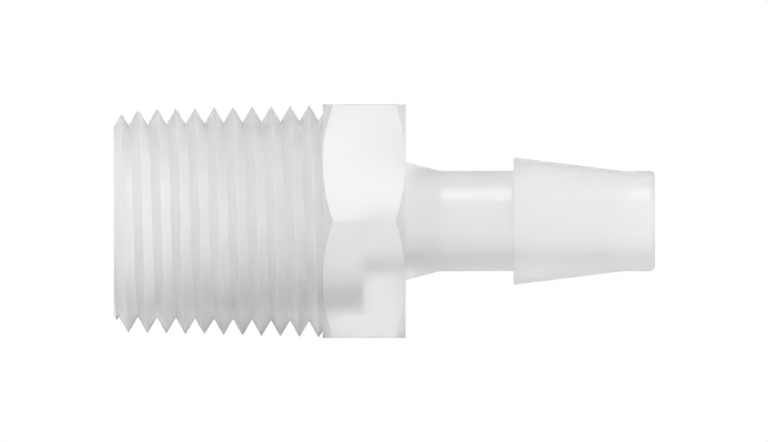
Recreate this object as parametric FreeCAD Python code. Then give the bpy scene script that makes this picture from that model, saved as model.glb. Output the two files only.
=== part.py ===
import FreeCAD, Part
import math
import os

# Threaded hose nipple, moulded in one piece. All sizes are in millimetres. Places along the axis are
# counted from the threaded end face, which holds the origin.

# Male taper thread: right-handed, one start, with a narrow flat along its crest and a sharp root
inch = 25.4
threads_per_inch = 18
thread_length = 15.50
thread_end_d = 16.46
thread_taper_angle = 1.40
thread_flank_angle = 30.0
thread_crest_flat = 0.054
groove_at_underside = 0.375

# Lead-in chamfer on the threaded end
lead_in_d = 13.96
lead_in_angle = 30.0

# Hexagon for the spanner, chamfered on both faces
hex_sides = 6
hex_across_flats = 17.34
hex_length = 6.16
hex_corner_chamfer = 0.77
hex_chamfer_angle = 30.0

# Cone and neck between the hexagon and the barb
cone_base_d = 8.77
cone_length = 2.49
neck_d = 7.46
neck_length = 5.51

# Barb with a sharp step at the back, and the straight tip that leads the hose on
barb_d = 9.46
barb_length = 8.06
tip_d = 7.46
tip_length = 2.44
tip_edge_radius = 0.40

# Passage: a wide bore from the threaded end to a flat shoulder, and a narrow bore from there to the tip
wide_bore_d = 11.45
wide_bore_depth = 18.55
narrow_bore_d = 5.05

# How far cutting shapes reach past the faces that they cut
overcut = 0.50
overcut_turns = 2

# Degrees in a full turn, and in the quarter turn that lays the piece down
full_turn = math.degrees(math.tau)
quarter_turn = full_turn / 4

# Places that follow from the sizes
thread_pitch = inch / threads_per_inch
thread_slope = math.tan(math.radians(thread_taper_angle))
thread_flank_slope = math.tan(math.radians(thread_flank_angle))
thread_depth = (thread_pitch - thread_crest_flat) / 2 / thread_flank_slope
hex_end = thread_length + hex_length
cone_end = hex_end + cone_length
neck_end = cone_end + neck_length
barb_end = neck_end + barb_length
tip_end = barb_end + tip_length


def point(radius, height):
    """Point of an outline that is turned about the Z axis."""
    return FreeCAD.Vector(radius, 0, height)


def lines(points):
    """Straight edges that join the points in their order."""
    return [Part.makeLine(start, end) for start, end in zip(points, points[1:])]


def turned(edges):
    """Solid turned about the Z axis from edges that bound half of its section."""
    section = Part.Face(Part.Wire(edges))
    return section.revolve(FreeCAD.Vector(0, 0, 0), FreeCAD.Vector(0, 0, 1), full_turn)


def closed_outline(points):
    """Straight edges round a closed outline."""
    return lines(points + points[:1])


def crest_radius(height):
    """Radius of the thread's crest at a height above the threaded end face."""
    return thread_end_d / 2 + thread_slope * height


def thread_blank():
    """Tapered bar that the thread is cut in, with the lead-in chamfer at its free end."""
    lead_in_slope = math.tan(math.radians(lead_in_angle))
    lead_in_depth = (crest_radius(0) - lead_in_d / 2) * lead_in_slope / (1 - lead_in_slope * thread_slope)
    outline = [
        point(0, 0),
        point(lead_in_d / 2, 0),
        point(crest_radius(lead_in_depth), lead_in_depth),
        point(crest_radius(thread_length), thread_length),
        point(0, thread_length),
    ]
    return turned(closed_outline(outline))


def thread_groove():
    """Helical V groove between the thread's turns, run out past both ends of the blank.

    Its flanks go on a little above the crest, by less than would let neighbouring turns of the cut meet.
    """
    start = groove_at_underside - overcut_turns * thread_pitch
    end = thread_length + overcut_turns * thread_pitch
    above_crest = thread_crest_flat / 2
    root_r = crest_radius(start) - thread_depth
    mouth_r = crest_radius(start) + above_crest
    half_mouth = (thread_depth + above_crest) * thread_flank_slope
    profile = closed_outline([
        point(root_r, start),
        point(mouth_r, start - half_mouth),
        point(mouth_r, start + half_mouth),
    ])
    helix = Part.makeLongHelix(thread_pitch, end - start, root_r, thread_taper_angle)
    helix.translate(FreeCAD.Vector(0, 0, start))
    sweep = Part.BRepOffsetAPI.MakePipeShell(Part.Wire(helix.Edges))
    sweep.setBiNormalMode(FreeCAD.Vector(0, 0, 1))
    sweep.add(Part.Wire(profile))
    sweep.build()
    sweep.makeSolid()
    return sweep.shape()


def thread():
    """Solid threaded end, up to the face of the hexagon."""
    return thread_blank().cut(thread_groove())


def hexagon():
    """Hexagonal prism with two opposite flats square to X, its corners turned off at both faces."""
    half_side_angle = math.pi / hex_sides
    corner_r = hex_across_flats / 2 / math.cos(half_side_angle)
    corners = []
    for number in range(hex_sides):
        angle = (2 * number + 1) * half_side_angle
        corners.append(FreeCAD.Vector(corner_r * math.cos(angle), corner_r * math.sin(angle), thread_length))
    prism = Part.Face(Part.Wire(closed_outline(corners))).extrude(FreeCAD.Vector(0, 0, hex_length))
    face_r = corner_r - hex_corner_chamfer / math.tan(math.radians(hex_chamfer_angle))
    middle = thread_length + hex_length / 2
    middle_r = face_r + (hex_length / 2) / math.tan(math.radians(hex_chamfer_angle))
    envelope = turned(closed_outline([
        point(0, thread_length),
        point(face_r, thread_length),
        point(middle_r, middle),
        point(face_r, hex_end),
        point(0, hex_end),
    ]))
    return prism.common(envelope)


def quarter_round(centre, radius):
    """Edges of a quarter round from the side of a turned end to its face, as two equal arcs."""
    def at(share):
        angle = math.radians(share * quarter_turn)
        return centre + point(radius * math.cos(angle), radius * math.sin(angle))
    return [
        Part.Arc(at(0), at(1 / 4), at(1 / 2)).toShape(),
        Part.Arc(at(1 / 2), at(3 / 4), at(1)).toShape(),
    ]


def hose_end():
    """Cone, neck, barb and rounded tip, turned from one outline."""
    tip_r = tip_d / 2
    round_centre = point(tip_r - tip_edge_radius, tip_end - tip_edge_radius)
    side = lines([
        point(0, hex_end),
        point(cone_base_d / 2, hex_end),
        point(neck_d / 2, cone_end),
        point(neck_d / 2, neck_end),
        point(barb_d / 2, neck_end),
        point(tip_r, barb_end),
        point(tip_r, tip_end - tip_edge_radius),
    ])
    end = lines([
        point(tip_r - tip_edge_radius, tip_end),
        point(0, tip_end),
        point(0, hex_end),
    ])
    return turned(side + quarter_round(round_centre, tip_edge_radius) + end)


def passage():
    """Stepped bore through the whole piece, cut past both end faces."""
    outline = [
        point(0, -overcut),
        point(wide_bore_d / 2, -overcut),
        point(wide_bore_d / 2, wide_bore_depth),
        point(narrow_bore_d / 2, wide_bore_depth),
        point(narrow_bore_d / 2, tip_end + overcut),
        point(0, tip_end + overcut),
    ]
    return turned(closed_outline(outline))


def hose_nipple():
    """The whole piece, laid down with its axis along +X and one flat of the hexagon underneath."""
    outside = thread().fuse(hexagon()).fuse(hose_end())
    piece = outside.cut(passage())
    piece.rotate(FreeCAD.Vector(0, 0, 0), FreeCAD.Vector(0, 1, 0), quarter_turn)
    return piece


os.makedirs("parts", exist_ok=True)
hose_nipple().exportStep("parts/hose_nipple.step")
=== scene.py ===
import math
import bpy
import bmesh
from mathutils import Matrix, Vector


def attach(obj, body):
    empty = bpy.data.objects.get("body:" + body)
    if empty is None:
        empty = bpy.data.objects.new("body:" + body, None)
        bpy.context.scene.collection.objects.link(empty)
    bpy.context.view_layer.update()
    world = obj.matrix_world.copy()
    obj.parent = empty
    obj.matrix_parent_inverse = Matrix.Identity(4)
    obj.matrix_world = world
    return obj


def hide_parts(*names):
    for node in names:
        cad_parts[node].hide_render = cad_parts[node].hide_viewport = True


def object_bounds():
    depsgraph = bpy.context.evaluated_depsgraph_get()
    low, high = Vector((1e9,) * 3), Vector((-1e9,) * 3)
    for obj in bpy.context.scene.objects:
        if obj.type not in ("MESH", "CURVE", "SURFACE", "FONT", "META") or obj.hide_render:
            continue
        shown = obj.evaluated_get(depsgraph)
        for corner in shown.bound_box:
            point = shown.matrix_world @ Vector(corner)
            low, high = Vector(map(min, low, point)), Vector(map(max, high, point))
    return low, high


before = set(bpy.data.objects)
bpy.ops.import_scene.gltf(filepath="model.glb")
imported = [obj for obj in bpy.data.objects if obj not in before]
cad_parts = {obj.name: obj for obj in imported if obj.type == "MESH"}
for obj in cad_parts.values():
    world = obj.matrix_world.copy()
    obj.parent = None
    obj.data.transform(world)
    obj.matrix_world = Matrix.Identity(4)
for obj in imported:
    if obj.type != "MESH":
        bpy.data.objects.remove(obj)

cad_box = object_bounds()
scene = bpy.context.scene


# Threaded end: a male taper thread of 60 degree form, 18 turns to the inch, moulded in natural
# polypropylene with the rest of the piece. Its crests and roots are a little round, as the plastic fills
# the mould, and a chamfer at the free end starts it in its socket.
PITCH = 25.4 / 18
THREAD_LENGTH = 15.50
THREAD_END_R = 8.23
THREAD_TAPER = math.tan(math.radians(1.40))
THREAD_DEPTH = 1.175
CREST_FLAT = 0.054
CREST_EASE = 0.022
ROOT_EASE = 0.035
ROOT_AT_UNDERSIDE = 0.375
LEAD_IN_R = 6.98
LEAD_IN_SLOPE = math.tan(math.radians(30))
LEAD_IN_EASE = 0.05
LEAD_IN_PAST_CREST = 1.5
ROUND_STEPS = 192
EASE_STEPS = 4
LONG_RUN = 0.5
HOLD = 0.05
OVERLAP = 1.0
SAME_PLACE = 1e-4


def wire(corners):
    """Half section in the plane under the axis, from (along, radius, ease): an eased corner is rounded off
    by that much along both of its sides, and a point on each side holds the run beyond it straight."""
    bm = bmesh.new()
    points = [(Vector((along, 0, -radius)), ease) for along, radius, ease in corners]
    held = points[:1]
    for (start, start_ease), (end, end_ease) in zip(points, points[1:]):
        run = end - start
        along = run.normalized()
        if start_ease and run.length > LONG_RUN:
            held.append((start + along * (start_ease + HOLD), 0))
        if end_ease and run.length > LONG_RUN:
            held.append((end - along * (end_ease + HOLD), 0))
        held.append((end, end_ease))
    verts = [bm.verts.new(place) for place, ease in held]
    for start, end in zip(verts, verts[1:]):
        bm.edges.new((start, end))
    for vert, (place, ease) in zip(verts, held):
        if ease:
            bmesh.ops.bevel(bm, geom=[vert], offset=ease, offset_type="OFFSET", segments=EASE_STEPS,
                            profile=0.5, affect="VERTICES", material=-1)
    return bm


def spin(bm, advance=0.0):
    """Spins the wire one turn about the X axis; with an advance it becomes one turn of a screw."""
    bmesh.ops.spin(bm, geom=bm.verts[:] + bm.edges[:], cent=(0, 0, 0), axis=(1, 0, 0),
                   dvec=(advance / ROUND_STEPS, 0, 0), angle=math.tau, steps=ROUND_STEPS,
                   use_merge=not advance)
    bmesh.ops.remove_doubles(bm, verts=bm.verts, dist=SAME_PLACE)


def solid(name, bm):
    """Object of a closed mesh, its faces turned outward."""
    bmesh.ops.recalc_face_normals(bm, faces=bm.faces)
    mesh = bpy.data.meshes.new(name)
    bm.to_mesh(mesh)
    bm.free()
    made = bpy.data.objects.new(name, mesh)
    scene.collection.objects.link(made)
    return made


def turned(name, corners):
    """Closed solid of revolution from its half section, which starts and ends on the axis."""
    bm = wire(corners)
    spin(bm)
    return solid(name, bm)


def combine(body, other, operation):
    """Joins, cuts or keeps the common part of two closed solids, and uses the second one up."""
    step = body.modifiers.new(operation, "BOOLEAN")
    step.operation = operation
    step.solver = "MANIFOLD"
    step.object = other
    done = bpy.data.meshes.new_from_object(body.evaluated_get(bpy.context.evaluated_depsgraph_get()))
    body.modifiers.clear()
    body.data = done
    bpy.data.objects.remove(other)


# The screw starts and stops past both ends of the blank that it is then cut down to, and the half turn
# brings a root to its place on the underside
TURNS_BEFORE = 2.5
TURNS_BESIDE = 3
turns = math.ceil((THREAD_LENGTH + OVERLAP) / PITCH) + TURNS_BESIDE
first_crest = ROOT_AT_UNDERSIDE - TURNS_BEFORE * PITCH
half_crest = CREST_FLAT / 2
root_r = THREAD_END_R - THREAD_DEPTH
bm = wire([
    (first_crest, THREAD_END_R, 0),
    (first_crest + half_crest, THREAD_END_R, CREST_EASE),
    (first_crest + PITCH / 2, root_r, ROOT_EASE),
    (first_crest + PITCH - half_crest, THREAD_END_R, CREST_EASE),
    (first_crest + PITCH, THREAD_END_R, 0),
])
spin(bm, advance=PITCH)
one_turn = bm.verts[:] + bm.edges[:] + bm.faces[:]
for number in range(1, turns):
    copy = bmesh.ops.duplicate(bm, geom=one_turn)["geom"]
    bmesh.ops.translate(bm, verts=[v for v in copy if isinstance(v, bmesh.types.BMVert)],
                        vec=(PITCH * number, 0, 0))
bmesh.ops.remove_doubles(bm, verts=bm.verts, dist=SAME_PLACE)
rims = [edge for edge in bm.edges if edge.is_boundary]
middle = first_crest + PITCH * (turns + 1) / 2
for side in (-1, 1):
    rim = [edge for edge in rims if (edge.verts[0].co.x - middle) * side > 0]
    closing = bmesh.ops.extrude_edge_only(bm, edges=rim)["geom"]
    centre = sum((vert.co for edge in rim for vert in edge.verts), Vector()) / (2 * len(rim))
    bmesh.ops.pointmerge(bm, verts=[v for v in closing if isinstance(v, bmesh.types.BMVert)],
                         merge_co=(centre.x, 0, 0))
for vert in bm.verts:
    across = vert.co * Vector((0, 1, 1))
    vert.co += across.normalized() * THREAD_TAPER * vert.co.x
nipple = solid("nipple_body", bm)

lead_in = (THREAD_END_R - LEAD_IN_R) * LEAD_IN_SLOPE * LEAD_IN_PAST_CREST
blank_r = LEAD_IN_R + lead_in / LEAD_IN_SLOPE
combine(nipple, turned("thread_blank", [
    (0, 0, 0),
    (0, LEAD_IN_R, LEAD_IN_EASE),
    (lead_in, blank_r, 0),
    (THREAD_LENGTH + OVERLAP, blank_r, 0),
    (THREAD_LENGTH + OVERLAP, 0, 0),
]), "INTERSECT")


# Hexagon for the spanner, moulded with the thread, 17.34 mm across its flats, with one flat underneath.
# Both faces have their corners turned off at 30 degrees, and the long edges are only as round as a
# moulded edge gets.
HEX_FLAT_R = 8.67
HEX_CORNER_R = HEX_FLAT_R / math.cos(math.pi / 6)
HEX_END = THREAD_LENGTH + 6.16
CORNER_CHAMFER = 0.77
CHAMFER_SLOPE = math.tan(math.radians(30))
HEX_EDGE_EASE = 0.07

bm = bmesh.new()
bmesh.ops.create_circle(bm, cap_ends=True, radius=HEX_CORNER_R, segments=6)
bmesh.ops.rotate(bm, verts=bm.verts, matrix=Matrix.Rotation(math.pi / 2, 3, "Y"))
bmesh.ops.translate(bm, verts=bm.verts, vec=(THREAD_LENGTH, 0, 0))
grown = bmesh.ops.extrude_face_region(bm, geom=bm.faces[:])["geom"]
bmesh.ops.translate(bm, verts=[v for v in grown if isinstance(v, bmesh.types.BMVert)],
                    vec=(HEX_END - THREAD_LENGTH, 0, 0))
half_length = (HEX_END - THREAD_LENGTH) / 2
long_edges = [e for e in bm.edges if abs(e.verts[0].co.x - e.verts[1].co.x) > half_length]
bmesh.ops.bevel(bm, geom=long_edges, offset=HEX_EDGE_EASE, offset_type="OFFSET", segments=1, profile=0.5,
                affect="EDGES", material=-1)
hexagon = solid("hexagon", bm)
face_r = HEX_CORNER_R - CORNER_CHAMFER / CHAMFER_SLOPE
combine(hexagon, turned("hexagon_chamfers", [
    (THREAD_LENGTH, 0, 0),
    (THREAD_LENGTH, face_r, 0),
    (THREAD_LENGTH + half_length, face_r + half_length / CHAMFER_SLOPE, 0),
    (HEX_END, face_r, 0),
    (HEX_END, 0, 0),
]), "INTERSECT")
combine(nipple, hexagon, "UNION")


# Hose end: cone, neck, one barb with a sharp step at its back, and the straight tip that leads the hose
# on. The inner corners have the small fillets of a mould, and the tip's edge is rounded for the hose.
CONE_END = HEX_END + 2.49
NECK_END = CONE_END + 5.51
BARB_END = NECK_END + 8.06
TIP_END = BARB_END + 2.44
CONE_BASE_R = 4.385
NECK_R = 3.73
BARB_R = 4.73
TIP_R = 3.73
CONE_EASE = 0.25
NECK_FILLET = 0.08
BARB_EDGE_EASE = 0.05
BARB_END_EASE = 0.30
TIP_EDGE_EASE = 0.40
combine(nipple, turned("hose_end", [
    (HEX_END - OVERLAP, 0, 0),
    (HEX_END - OVERLAP, CONE_BASE_R, 0),
    (HEX_END, CONE_BASE_R, 0),
    (CONE_END, NECK_R, CONE_EASE),
    (NECK_END, NECK_R, NECK_FILLET),
    (NECK_END, BARB_R, BARB_EDGE_EASE),
    (BARB_END, TIP_R, BARB_END_EASE),
    (TIP_END, TIP_R, TIP_EDGE_EASE),
    (TIP_END, 0, 0),
]), "UNION")


# Passage: a wide bore from the threaded end to a flat shoulder inside the hexagon, and the narrow bore
# from there to the tip, both left by the steel core pins of the mould.
WIDE_R = 5.725
NARROW_R = 2.525
SHOULDER = 18.55
SHOULDER_EASE = 0.15
INNER_MOUTH_EASE = 0.10
combine(nipple, turned("core_pins", [
    (-OVERLAP, 0, 0),
    (-OVERLAP, WIDE_R, 0),
    (SHOULDER, WIDE_R, SHOULDER_EASE),
    (SHOULDER, NARROW_R, INNER_MOUTH_EASE),
    (TIP_END + OVERLAP, NARROW_R, 0),
    (TIP_END + OVERLAP, 0, 0),
]), "DIFFERENCE")

MM = 0.001
SHARP_FROM = math.radians(28)
nipple.data.transform(Matrix.Diagonal((MM, MM, MM, 1)))
nipple.data.shade_smooth()
nipple.data.set_sharp_from_angle(angle=SHARP_FROM)
nipple.name = nipple.data.name = "nipple_body"
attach(nipple, "root")
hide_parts("hose_nipple")


# Plastic: natural polypropylene without pigment, milky but open to light, so the bores show as soft
# shadows inside it. It comes out of a polished mould with a satin gloss.
def linear(hex_colour):
    """Linear RGBA of an sRGB colour written as six hex digits."""
    channels = [int(hex_colour[i:i + 2], 16) / 255 for i in (0, 2, 4)]
    return (*[c / 12.92 if c <= 0.04045 else ((c + 0.055) / 1.055) ** 2.4 for c in channels], 1.0)


def node(tree, kind, settings=None, **links):
    """Adds a shader node with its settings and its input values or links."""
    made = tree.nodes.new(kind)
    for name, value in (settings or {}).items():
        setattr(made, name, value)
    for name, value in links.items():
        socket = made.inputs[int(name[1:])] if name[1:].isdigit() else made.inputs[name.replace("_", " ")]
        if isinstance(value, bpy.types.NodeSocket):
            tree.links.new(value, socket)
        else:
            socket.default_value = value
    return made


IOR = 1.49
LETS_THROUGH = 0.84
plastic = bpy.data.materials.new("natural_polypropylene_moulded")
plastic.use_nodes = True
tree = plastic.node_tree
tree.nodes.clear()
where = node(tree, "ShaderNodeTexCoord")
in_mm = node(tree, "ShaderNodeMapping", Vector=where.outputs["Object"], Scale=(1 / MM, 1 / MM, 1 / MM))
# Faint clouds, some 3 mm across and drawn out along the way that the melt ran
CLOUD = 3
DRAWN_OUT = 0.4
melt = node(tree, "ShaderNodeMapping", Vector=in_mm.outputs[0], Scale=(DRAWN_OUT, 1, 1))
clouds = node(tree, "ShaderNodeTexNoise", Vector=melt.outputs[0], Scale=1 / CLOUD, Detail=3.0,
              Roughness=0.55)
cloudy = node(tree, "ShaderNodeMapRange", i0=clouds.outputs[0], i1=0.3, i2=0.7)
colour = node(tree, "ShaderNodeMix", {"data_type": "RGBA"}, i0=cloudy.outputs[0], i6=linear("fbfbfa"),
              i7=linear("fefefd"))
# The thread's mould insert is left dull, and the cavity for the hexagon and the hose end is polished
THREAD_ROUGHNESS = 0.62
POLISHED_ROUGHNESS = 0.43
THREAD_GLOSS = 0.2
POLISHED_GLOSS = 0.22
JOIN_BLUR = 0.05
along = node(tree, "ShaderNodeSeparateXYZ", Vector=in_mm.outputs[0])
polished = node(tree, "ShaderNodeMapRange", i0=along.outputs[0], i1=THREAD_LENGTH - JOIN_BLUR,
                i2=THREAD_LENGTH + JOIN_BLUR)
finish = node(tree, "ShaderNodeMix", {"data_type": "FLOAT"}, i0=polished.outputs[0], i2=THREAD_ROUGHNESS,
              i3=POLISHED_ROUGHNESS)
gloss = node(tree, "ShaderNodeMix", {"data_type": "FLOAT"}, i0=polished.outputs[0], i2=THREAD_GLOSS,
             i3=POLISHED_GLOSS)
# Grain of the steel, 0.15 mm, drawn that coarse because the real 0.03 mm is too fine to show
GRAIN = 0.15
UNEVEN = 0.03
grain = node(tree, "ShaderNodeTexNoise", Vector=in_mm.outputs[0], Scale=1 / GRAIN, Detail=2.0,
             Roughness=0.6)
uneven = node(tree, "ShaderNodeMapRange", i0=grain.outputs[0], i1=0.25, i2=0.75, i3=-UNEVEN, i4=UNEVEN)
rough = node(tree, "ShaderNodeMath", {"operation": "ADD"}, i0=finish.outputs[0], i1=uneven.outputs[0])
# Turning marks round the thread, 0.24 mm apart, that the insert was cut with and the plastic copied
MARK_GAP = 0.24
GAP_AT_SCALE_ONE = math.tau / 20
marks = node(tree, "ShaderNodeTexWave",
             {"wave_type": "BANDS", "bands_direction": "X", "wave_profile": "SIN"},
             Vector=in_mm.outputs[0], Scale=GAP_AT_SCALE_ONE / MARK_GAP, Distortion=1.5, Detail=1.0,
             Detail_Scale=0.5)
turned_only = node(tree, "ShaderNodeMix", {"data_type": "FLOAT"}, i0=polished.outputs[0],
                   i2=marks.outputs["Fac"], i3=0.5)
relief = node(tree, "ShaderNodeMath", {"operation": "ADD"}, i0=grain.outputs[0], i1=turned_only.outputs[0])
RELIEF_HEIGHT = 0.001 * MM
skin = node(tree, "ShaderNodeBump", Height=relief.outputs[0], Strength=1.0, Distance=RELIEF_HEIGHT)
shader = node(tree, "ShaderNodeBsdfPrincipled", Base_Color=colour.outputs[2], Roughness=rough.outputs[0],
              IOR=IOR, Normal=skin.outputs[0], Transmission_Weight=LETS_THROUGH,
              Coat_Weight=gloss.outputs[0], Coat_Roughness=0.02, Coat_IOR=IOR)
node(tree, "ShaderNodeOutputMaterial", Surface=shader.outputs[0])
nipple.data.materials.clear()
nipple.data.materials.append(plastic)


# Floor: a sheet of white paper that the piece lies on, wide enough to fill the view under and behind it
# from every side.
FLOOR_HALF = 1.0
MIDDLE = 0.02
bm = bmesh.new()
bmesh.ops.create_grid(bm, x_segments=1, y_segments=1, size=FLOOR_HALF)
floor_mesh = bpy.data.meshes.new("floor")
bm.to_mesh(floor_mesh)
bm.free()
floor_mesh.transform(Matrix.Translation((MIDDLE, 0, cad_box[0].z)))
floor = bpy.data.objects.new("floor", floor_mesh)
scene.collection.objects.link(floor)
paper = bpy.data.materials.new("white_paper")
paper.use_nodes = True
tree = paper.node_tree
tree.nodes["Principled BSDF"].inputs["Base Color"].default_value = linear("f4f4f4")
tree.nodes["Principled BSDF"].inputs["Roughness"].default_value = 0.9
floor_mesh.materials.append(paper)


# Light: one soft lamp above and in front, whose reflection lies along the neck and the tip, broad weak ones
# from the front, from overhead and from both sides, and white surroundings.
ROOM_LIGHT = 0.64


def area(name, location, target, size, power):
    """Rectangular lamp that faces a point, and isn't seen through the plastic."""
    lamp = bpy.data.lights.new(name, "AREA")
    lamp.shape = "RECTANGLE"
    lamp.size, lamp.size_y = size
    lamp.energy = power
    holder = bpy.data.objects.new(name, lamp)
    holder.visible_transmission = False
    scene.collection.objects.link(holder)
    holder.location = location
    holder.rotation_euler = (Vector(target) - Vector(location)).to_track_quat("-Z", "Y").to_euler()
    return holder


area("key", location=(0.0275, -0.147, 0.301), target=(0.0275, 0, 0), size=(0.028, 0.18), power=0.155)
front = area("front", location=(MIDDLE, -0.5, 0.14), target=(MIDDLE, 0, 0), size=(1.0, 0.26), power=1.6)
# The front lamp stays out of the gloss, where the photograph has only the one strip of the key
front.visible_glossy = False
area("over", location=(MIDDLE, 0.05, 0.7), target=(MIDDLE, 0, 0), size=(0.9, 0.9), power=0.9)
area("left", location=(-0.5, -0.05, 0.15), target=(MIDDLE, 0, 0), size=(0.6, 0.26), power=0.3)
area("right", location=(0.54, -0.05, 0.15), target=(MIDDLE, 0, 0), size=(0.6, 0.26), power=0.9)

world = bpy.data.worlds.new("studio")
scene.world = world
world.use_nodes = True
tree = world.node_tree
tree.nodes.clear()
path = node(tree, "ShaderNodeLightPath")
seen = node(tree, "ShaderNodeMath", {"operation": "MAXIMUM"}, i0=path.outputs["Is Camera Ray"],
            i1=path.outputs["Is Glossy Ray"])
seen = node(tree, "ShaderNodeMath", {"operation": "MAXIMUM"}, i0=seen.outputs[0],
            i1=path.outputs["Is Transmission Ray"])
strength = node(tree, "ShaderNodeMix", {"data_type": "FLOAT"}, i0=seen.outputs[0], i2=ROOM_LIGHT, i3=1.0)
back = node(tree, "ShaderNodeBackground", Color=(1, 1, 1, 1), Strength=strength.outputs[0])
node(tree, "ShaderNodeOutputWorld", Surface=back.outputs[0])
scene.view_settings.view_transform = "Standard"


# Camera: square to the axis and at its height, through a very long lens, as the photograph was taken. The
# thread's pitch gives the scale, and the picture's middle is 20.047 mm from the threaded end.
PICTURE_WIDTH = 768
PIXELS_PER_MM = 13.473
VIEW_ALONG = 20.047
VIEW_ABOVE = 0.004
VIEW_FROM = 300
lens = bpy.data.cameras.new("camera")
lens.type = "ORTHO"
lens.ortho_scale = PICTURE_WIDTH / PIXELS_PER_MM * MM
lens.clip_start = 0.001
lens.clip_end = 10
camera = bpy.data.objects.new("camera", lens)
scene.collection.objects.link(camera)
camera.location = (VIEW_ALONG * MM, -VIEW_FROM * MM, VIEW_ABOVE * MM)
camera.rotation_euler = (math.radians(90), 0, 0)
scene.camera = camera
